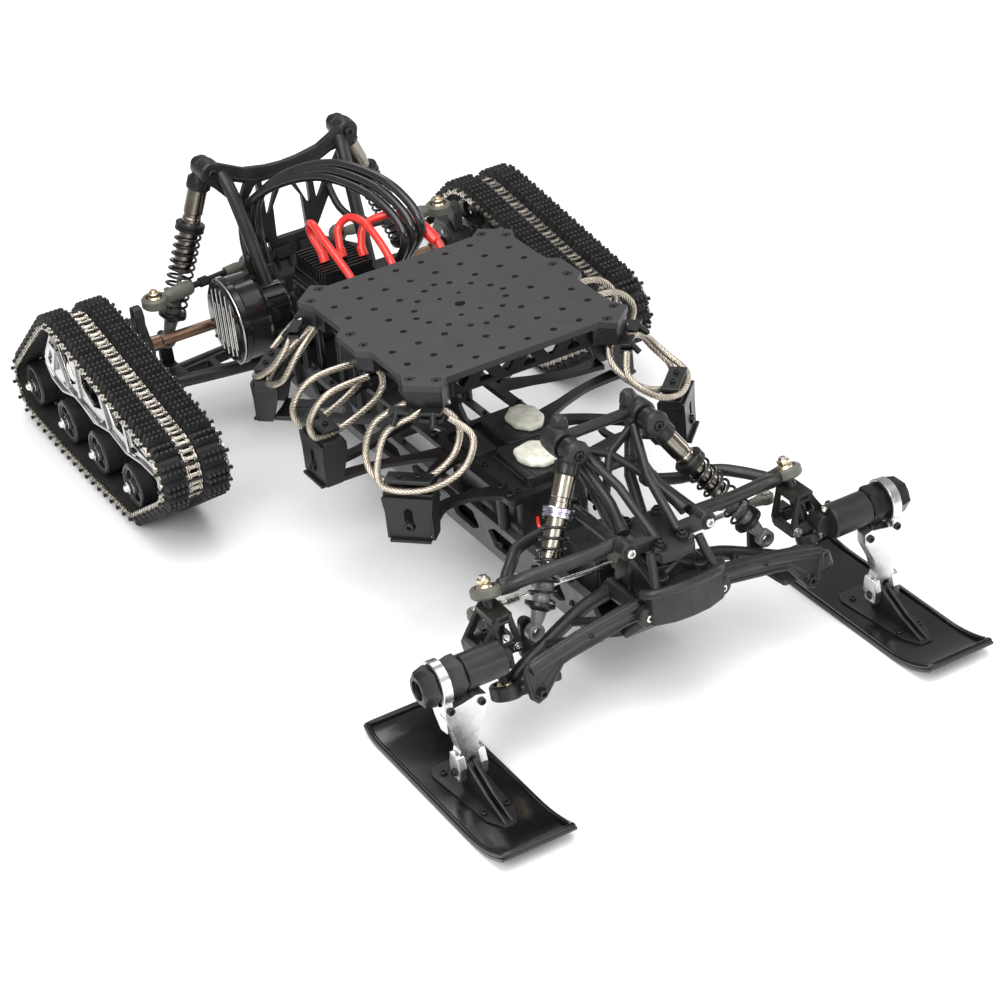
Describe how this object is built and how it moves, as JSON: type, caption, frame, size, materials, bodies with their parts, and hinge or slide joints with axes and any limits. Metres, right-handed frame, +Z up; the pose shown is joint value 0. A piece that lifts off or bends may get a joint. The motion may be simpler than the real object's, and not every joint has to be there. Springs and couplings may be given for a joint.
{
  "type": "tracked rover chassis",
  "caption": "Rover chassis on rear track pods and front skis, with sprung arms, coil-over shocks and a drilled payload deck carried on wire-rope isolators.",
  "frame": {"origin": "middle of the overall length and of the bounding box, on the ground plane", "axes": "+X forward towards the skis, +Y left, +Z up"},
  "size_m": [0.904, 0.512, 0.2657],
  "materials": {
    "rubber_belt": "matte moulded rubber",
    "rope_steel": "laid stainless strand",
    "red_silicone": "glossy silicone sheath",
    "black_silicone": "glossy silicone sheath",
    "anodised_plate": "dark grey hard anodised",
    "bright_aluminium": "satin machined",
    "steel": "turned",
    "gunmetal": "bronze-grey anodised, polished",
    "dark_steel": "black coated",
    "dark_metal": "black anodised",
    "black_plastic": "satin moulded glass-filled nylon"
  },
  "bodies": {
    "chassis": {"chassis_pan": "anodised_plate", "electronics_tray": "black_plastic", "deck_frame": "black_plastic", "front_bulkhead": "black_plastic", "drive_unit": "dark_metal", "rear_shock_tower": "black_plastic", "speed_controller": "dark_metal", "motor_leads": "black_silicone", "battery_leads": "red_silicone", "wire_rope_fr": "rope_steel", "wire_rope_fl": "rope_steel", "wire_rope_rr": "rope_steel", "wire_rope_rl": "rope_steel", "wire_rope_mr": "rope_steel", "wire_rope_ml": "rope_steel"},
    "deck": {"payload_plate": "anodised_plate", "payload_frame": "anodised_plate"},
    "f_arm_r": {"front_lower_arm_r": "black_plastic"},
    "f_upper_r": {"front_upper_arm_r": "black_plastic"},
    "f_post_r": {"kingpin_carrier_r": "steel"},
    "f_knuckle_r": {"knuckle_r": "bright_aluminium"},
    "f_ski_r": {"ski_r": "black_plastic"},
    "f_damper_r": {"front_shock_body_r": "gunmetal", "front_spring_r": "dark_steel"},
    "f_rod_r": {"front_shock_rod_r": "dark_steel"},
    "r_arm_r": {"rear_lower_arm_r": "black_plastic"},
    "r_link_r": {"rear_upper_link_r": "black_plastic"},
    "r_hub_r": {"hub_carrier_r": "black_plastic"},
    "r_drive_r": {"sprocket_shaft_r": "steel"},
    "r_pod_r": {"track_frame_r": "bright_aluminium", "track_belt_r": "rubber_belt"},
    "r_damper_r": {"rear_shock_body_r": "gunmetal", "rear_spring_r": "dark_steel"},
    "r_rod_r": {"rear_shock_rod_r": "dark_steel"},
    "r_wheel_1_r": {"road_wheel_1_r": "black_plastic"},
    "r_wheel_2_r": {"road_wheel_2_r": "black_plastic"},
    "r_wheel_3_r": {"road_wheel_3_r": "black_plastic"},
    "r_wheel_4_r": {"road_wheel_4_r": "black_plastic"},
    "f_arm_l": {"front_lower_arm_l": "black_plastic"},
    "f_upper_l": {"front_upper_arm_l": "black_plastic"},
    "f_post_l": {"kingpin_carrier_l": "steel"},
    "f_knuckle_l": {"knuckle_l": "bright_aluminium"},
    "f_ski_l": {"ski_l": "black_plastic"},
    "f_damper_l": {"front_shock_body_l": "gunmetal", "front_spring_l": "dark_steel"},
    "f_rod_l": {"front_shock_rod_l": "dark_steel"},
    "r_arm_l": {"rear_lower_arm_l": "black_plastic"},
    "r_link_l": {"rear_upper_link_l": "black_plastic"},
    "r_hub_l": {"hub_carrier_l": "black_plastic"},
    "r_drive_l": {"sprocket_shaft_l": "steel"},
    "r_pod_l": {"track_frame_l": "bright_aluminium", "track_belt_l": "rubber_belt"},
    "r_damper_l": {"rear_shock_body_l": "gunmetal", "rear_spring_l": "dark_steel"},
    "r_rod_l": {"rear_shock_rod_l": "dark_steel"},
    "r_wheel_1_l": {"road_wheel_1_l": "black_plastic"},
    "r_wheel_2_l": {"road_wheel_2_l": "black_plastic"},
    "r_wheel_3_l": {"road_wheel_3_l": "black_plastic"},
    "r_wheel_4_l": {"road_wheel_4_l": "black_plastic"},
    "steering": {"steering_link": "bright_aluminium"}
  },
  "joints": [
    {"name": "deck_slide", "type": "slide", "parent": "chassis", "child": "deck", "axis": [0, 0, 1], "range_m": [-0.006, 0.006], "stiffness_N_per_m": 20000, "deforming": ["wire_rope_fr", "wire_rope_fl", "wire_rope_rr", "wire_rope_rl", "wire_rope_mr", "wire_rope_ml"]},
    {"name": "front_arm_r", "type": "hinge", "parent": "chassis", "child": "f_arm_r", "pos_m": [0.328, -0.034, 0.098], "axis": [-1, 0, 0], "range_deg": [-6, 6], "stiffness_Nm_per_rad": 260},
    {"name": "front_upper_r", "type": "hinge", "parent": "chassis", "child": "f_upper_r", "pos_m": [0.3, -0.036, 0.149], "axis": [-1, 0, 0], "range_deg": [-6.6, 6.6]},
    {"name": "front_upright_r", "type": "hinge", "parent": "f_arm_r", "child": "f_post_r", "pos_m": [0.328, -0.146, 0.06], "axis": [-1, 0, 0], "range_deg": [-7.6, 7.6]},
    {"name": "steer_r", "type": "hinge", "parent": "f_post_r", "child": "f_knuckle_r", "pos_m": [0.328, -0.146, 0.06], "axis": [-0.3529, 0.0756, 0.9326], "range_deg": [-18, 18]},
    {"name": "ski_pitch_r", "type": "hinge", "parent": "f_knuckle_r", "child": "f_ski_r", "pos_m": [0.349, -0.195, 0.023], "axis": [0, 1, 0], "range_deg": [-14, 14]},
    {"name": "front_shock_r", "type": "hinge", "parent": "chassis", "child": "f_damper_r", "pos_m": [0.266, -0.0365, 0.205], "axis": [-1, 0, 0], "range_deg": [-2.4, 2.4]},
    {"name": "front_shock_slide_r", "type": "slide", "parent": "f_damper_r", "child": "f_rod_r", "axis": [0.3216, -0.4999, -0.8041], "range_m": [-0.0105, 0.0105], "deforming": ["front_spring_r"]},
    {"name": "rear_arm_r", "type": "hinge", "parent": "chassis", "child": "r_arm_r", "pos_m": [-0.31, -0.05, 0.054], "axis": [-1, 0, 0], "range_deg": [-6, 6], "stiffness_Nm_per_rad": 420},
    {"name": "rear_link_r", "type": "hinge", "parent": "chassis", "child": "r_link_r", "pos_m": [-0.306, -0.048, 0.152], "axis": [-1, 0, 0], "range_deg": [-6.5, 6.5]},
    {"name": "rear_hub_r", "type": "hinge", "parent": "r_arm_r", "child": "r_hub_r", "pos_m": [-0.31, -0.152, 0.062], "axis": [-1, 0, 0], "range_deg": [-6.5, 6.5]},
    {"name": "sprocket_spin_r", "type": "hinge", "parent": "r_hub_r", "child": "r_drive_r", "pos_m": [-0.31, -0.18, 0.1], "axis": [0, 1, 0], "continuous": true},
    {"name": "pod_pitch_r", "type": "hinge", "parent": "r_hub_r", "child": "r_pod_r", "pos_m": [-0.31, -0.18, 0.1], "axis": [0, 1, 0], "range_deg": [-9, 9]},
    {"name": "rear_shock_r", "type": "hinge", "parent": "chassis", "child": "r_damper_r", "pos_m": [-0.324, -0.071, 0.252], "axis": [-1, 0, 0], "range_deg": [-1.5, 1.5]},
    {"name": "rear_shock_slide_r", "type": "slide", "parent": "r_damper_r", "child": "r_rod_r", "axis": [0, -0.3664, -0.9305], "range_m": [-0.0105, 0.0105], "deforming": ["rear_spring_r"]},
    {"name": "wheel_spin_1_r", "type": "hinge", "parent": "r_pod_r", "child": "r_wheel_1_r", "pos_m": [-0.418, -0.222, 0.041], "axis": [0, 1, 0], "continuous": true},
    {"name": "wheel_spin_2_r", "type": "hinge", "parent": "r_pod_r", "child": "r_wheel_2_r", "pos_m": [-0.336, -0.222, 0.036], "axis": [0, 1, 0], "continuous": true},
    {"name": "wheel_spin_3_r", "type": "hinge", "parent": "r_pod_r", "child": "r_wheel_3_r", "pos_m": [-0.262, -0.222, 0.036], "axis": [0, 1, 0], "continuous": true},
    {"name": "wheel_spin_4_r", "type": "hinge", "parent": "r_pod_r", "child": "r_wheel_4_r", "pos_m": [-0.18, -0.222, 0.039], "axis": [0, 1, 0], "continuous": true},
    {"name": "front_arm_l", "type": "hinge", "parent": "chassis", "child": "f_arm_l", "pos_m": [0.328, 0.034, 0.098], "axis": [1, 0, 0], "range_deg": [-6, 6], "stiffness_Nm_per_rad": 260},
    {"name": "front_upper_l", "type": "hinge", "parent": "chassis", "child": "f_upper_l", "pos_m": [0.3, 0.036, 0.149], "axis": [1, 0, 0], "range_deg": [-6.6, 6.6]},
    {"name": "front_upright_l", "type": "hinge", "parent": "f_arm_l", "child": "f_post_l", "pos_m": [0.328, 0.146, 0.06], "axis": [1, 0, 0], "range_deg": [-7.6, 7.6]},
    {"name": "steer_l", "type": "hinge", "parent": "f_post_l", "child": "f_knuckle_l", "pos_m": [0.328, 0.146, 0.06], "axis": [-0.3529, -0.0756, 0.9326], "range_deg": [-18.5, 18.5]},
    {"name": "ski_pitch_l", "type": "hinge", "parent": "f_knuckle_l", "child": "f_ski_l", "pos_m": [0.349, 0.195, 0.023], "axis": [0, 1, 0], "range_deg": [-14, 14]},
    {"name": "front_shock_l", "type": "hinge", "parent": "chassis", "child": "f_damper_l", "pos_m": [0.266, 0.0365, 0.205], "axis": [1, 0, 0], "range_deg": [-2.4, 2.4]},
    {"name": "front_shock_slide_l", "type": "slide", "parent": "f_damper_l", "child": "f_rod_l", "axis": [0.3216, 0.4999, -0.8041], "range_m": [-0.0105, 0.0105], "deforming": ["front_spring_l"]},
    {"name": "rear_arm_l", "type": "hinge", "parent": "chassis", "child": "r_arm_l", "pos_m": [-0.31, 0.05, 0.054], "axis": [1, 0, 0], "range_deg": [-6, 6], "stiffness_Nm_per_rad": 420},
    {"name": "rear_link_l", "type": "hinge", "parent": "chassis", "child": "r_link_l", "pos_m": [-0.306, 0.048, 0.152], "axis": [1, 0, 0], "range_deg": [-6.5, 6.5]},
    {"name": "rear_hub_l", "type": "hinge", "parent": "r_arm_l", "child": "r_hub_l", "pos_m": [-0.31, 0.152, 0.062], "axis": [1, 0, 0], "range_deg": [-6.5, 6.5]},
    {"name": "sprocket_spin_l", "type": "hinge", "parent": "r_hub_l", "child": "r_drive_l", "pos_m": [-0.31, 0.18, 0.1], "axis": [0, 1, 0], "continuous": true},
    {"name": "pod_pitch_l", "type": "hinge", "parent": "r_hub_l", "child": "r_pod_l", "pos_m": [-0.31, 0.18, 0.1], "axis": [0, 1, 0], "range_deg": [-9, 9]},
    {"name": "rear_shock_l", "type": "hinge", "parent": "chassis", "child": "r_damper_l", "pos_m": [-0.324, 0.071, 0.252], "axis": [1, 0, 0], "range_deg": [-1.5, 1.5]},
    {"name": "rear_shock_slide_l", "type": "slide", "parent": "r_damper_l", "child": "r_rod_l", "axis": [0, 0.3664, -0.9305], "range_m": [-0.0105, 0.0105], "deforming": ["rear_spring_l"]},
    {"name": "wheel_spin_1_l", "type": "hinge", "parent": "r_pod_l", "child": "r_wheel_1_l", "pos_m": [-0.418, 0.222, 0.041], "axis": [0, 1, 0], "continuous": true},
    {"name": "wheel_spin_2_l", "type": "hinge", "parent": "r_pod_l", "child": "r_wheel_2_l", "pos_m": [-0.336, 0.222, 0.036], "axis": [0, 1, 0], "continuous": true},
    {"name": "wheel_spin_3_l", "type": "hinge", "parent": "r_pod_l", "child": "r_wheel_3_l", "pos_m": [-0.262, 0.222, 0.036], "axis": [0, 1, 0], "continuous": true},
    {"name": "wheel_spin_4_l", "type": "hinge", "parent": "r_pod_l", "child": "r_wheel_4_l", "pos_m": [-0.18, 0.222, 0.039], "axis": [0, 1, 0], "continuous": true},
    {"name": "steering_slide", "type": "slide", "parent": "chassis", "child": "steering", "axis": [0, 1, 0], "range_m": [-0.0145, 0.0145]}
  ],
  "couplings": [
    {"joint": "front_upper_r", "follows": "front_arm_r", "ratio": 1.088},
    {"joint": "front_upright_r", "follows": "front_arm_r", "ratio": -0.71},
    {"joint": "front_shock_r", "follows": "front_arm_r", "ratio": 0.3387},
    {"joint": "front_shock_slide_r", "follows": "front_arm_r", "m_per_rad": -0.0555},
    {"joint": "rear_link_r", "follows": "rear_arm_r", "ratio": 1},
    {"joint": "rear_hub_r", "follows": "rear_arm_r", "ratio": -1},
    {"joint": "rear_shock_r", "follows": "rear_arm_r", "ratio": -0.0266},
    {"joint": "rear_shock_slide_r", "follows": "rear_arm_r", "m_per_rad": -0.0921},
    {"joint": "wheel_spin_1_r", "follows": "sprocket_spin_r", "ratio": 2.0642},
    {"joint": "wheel_spin_2_r", "follows": "sprocket_spin_r", "ratio": 2.0642},
    {"joint": "wheel_spin_3_r", "follows": "sprocket_spin_r", "ratio": 2.0642},
    {"joint": "wheel_spin_4_r", "follows": "sprocket_spin_r", "ratio": 2.0642},
    {"joint": "front_upper_l", "follows": "front_arm_l", "ratio": 1.088},
    {"joint": "front_upright_l", "follows": "front_arm_l", "ratio": -0.71},
    {"joint": "front_shock_l", "follows": "front_arm_l", "ratio": 0.3387},
    {"joint": "front_shock_slide_l", "follows": "front_arm_l", "m_per_rad": -0.0555},
    {"joint": "rear_link_l", "follows": "rear_arm_l", "ratio": 1},
    {"joint": "rear_hub_l", "follows": "rear_arm_l", "ratio": -1},
    {"joint": "rear_shock_l", "follows": "rear_arm_l", "ratio": -0.0266},
    {"joint": "rear_shock_slide_l", "follows": "rear_arm_l", "m_per_rad": -0.0921},
    {"joint": "wheel_spin_1_l", "follows": "sprocket_spin_l", "ratio": 2.0642},
    {"joint": "wheel_spin_2_l", "follows": "sprocket_spin_l", "ratio": 2.0642},
    {"joint": "wheel_spin_3_l", "follows": "sprocket_spin_l", "ratio": 2.0642},
    {"joint": "wheel_spin_4_l", "follows": "sprocket_spin_l", "ratio": 2.0642},
    {"joint": "steer_l", "follows": "steer_r", "ratio": 1},
    {"joint": "steering_slide", "follows": "steer_r", "m_per_rad": -0.041}
  ]
}
